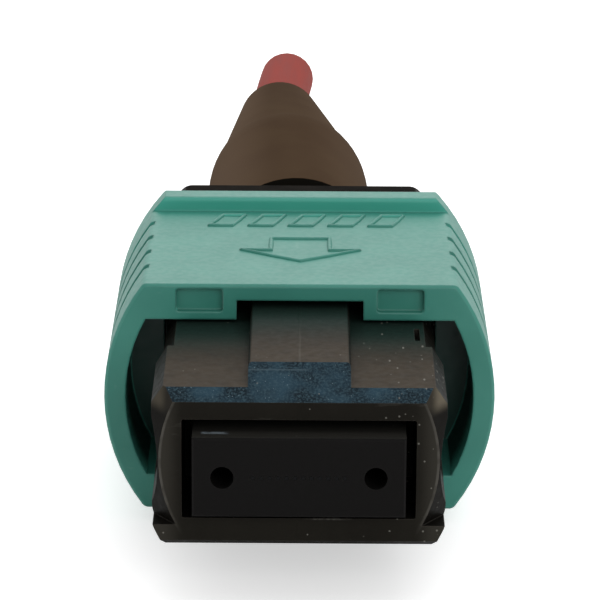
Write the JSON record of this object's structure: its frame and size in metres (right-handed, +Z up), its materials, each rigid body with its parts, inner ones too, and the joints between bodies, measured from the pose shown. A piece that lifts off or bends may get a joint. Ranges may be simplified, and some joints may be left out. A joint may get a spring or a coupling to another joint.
{
  "type": "fibre optic push-pull ribbon connector",
  "caption": "Rectangular-ferrule fibre optic connector with a keyed black nose, a sliding push-pull sleeve, a long tapered strain relief boot and a short stub of round cable",
  "frame": {"origin": "centre of the ferrule's polished mating face", "axes": "-Y points out of the mating face towards the adapter, +Y runs back along the plug to the cable, +X is to the right seen from the front, +Z is up through the key"},
  "size_m": [0.0124, 0.049, 0.0084],
  "materials": {
    "aqua_plastic": "moulded satin",
    "black_plastic": "moulded satin",
    "push_plastic": "moulded satin",
    "ferrule_compound": "glass-filled, polished face",
    "soft_rubber": "soft moulded",
    "spacer_plastic": "moulded",
    "spring_wire": "drawn wire",
    "crimp_metal": "turned",
    "boot_rubber": "smooth moulded",
    "jacket_plastic": "extruded",
    "yarn": "fine strands",
    "fibre_blue": "coated glass",
    "fibre_orange": "coated glass",
    "fibre_green": "coated glass",
    "fibre_brown": "coated glass",
    "fibre_slate": "coated glass",
    "fibre_white": "coated glass",
    "fibre_red": "coated glass",
    "fibre_black": "coated glass",
    "fibre_yellow": "coated glass",
    "fibre_violet": "coated glass",
    "fibre_rose": "coated glass",
    "fibre_aqua": "coated glass"
  },
  "bodies": {
    "plug_body": {"inner_housing": "black_plastic", "spring_push": "push_plastic", "crimp_ring": "crimp_metal", "strain_relief_boot": "boot_rubber", "cable_jacket": "jacket_plastic", "aramid_yarn": "yarn", "main_spring": "spring_wire", "coupling_spring_left": "spring_wire", "coupling_spring_right": "spring_wire"},
    "sleeve": {"coupling": "aqua_plastic"},
    "floating_ferrule": {"mt_ferrule": "ferrule_compound", "ferrule_boot": "soft_rubber", "pin_spacer": "spacer_plastic", "fibre_01": "fibre_blue", "fibre_02": "fibre_orange", "fibre_03": "fibre_green", "fibre_04": "fibre_brown", "fibre_05": "fibre_slate", "fibre_06": "fibre_white", "fibre_07": "fibre_red", "fibre_08": "fibre_black", "fibre_09": "fibre_yellow", "fibre_10": "fibre_violet", "fibre_11": "fibre_rose", "fibre_12": "fibre_aqua"}
  },
  "joints": [
    {"name": "coupling_slide", "type": "slide", "parent": "plug_body", "child": "sleeve", "axis": [0, 1, 0], "range_m": [0, 0.0024], "stiffness_N_per_m": 600, "springref_m": -0.002, "deforming": ["coupling_spring_left", "coupling_spring_right"]},
    {"name": "ferrule_float", "type": "slide", "parent": "plug_body", "child": "floating_ferrule", "axis": [0, 1, 0], "range_m": [0, 0.001], "stiffness_N_per_m": 3000, "springref_m": -0.002, "deforming": ["main_spring", "fibre_01", "fibre_02", "fibre_03", "fibre_04", "fibre_05", "fibre_06", "fibre_07", "fibre_08", "fibre_09", "fibre_10", "fibre_11", "fibre_12"]}
  ]
}
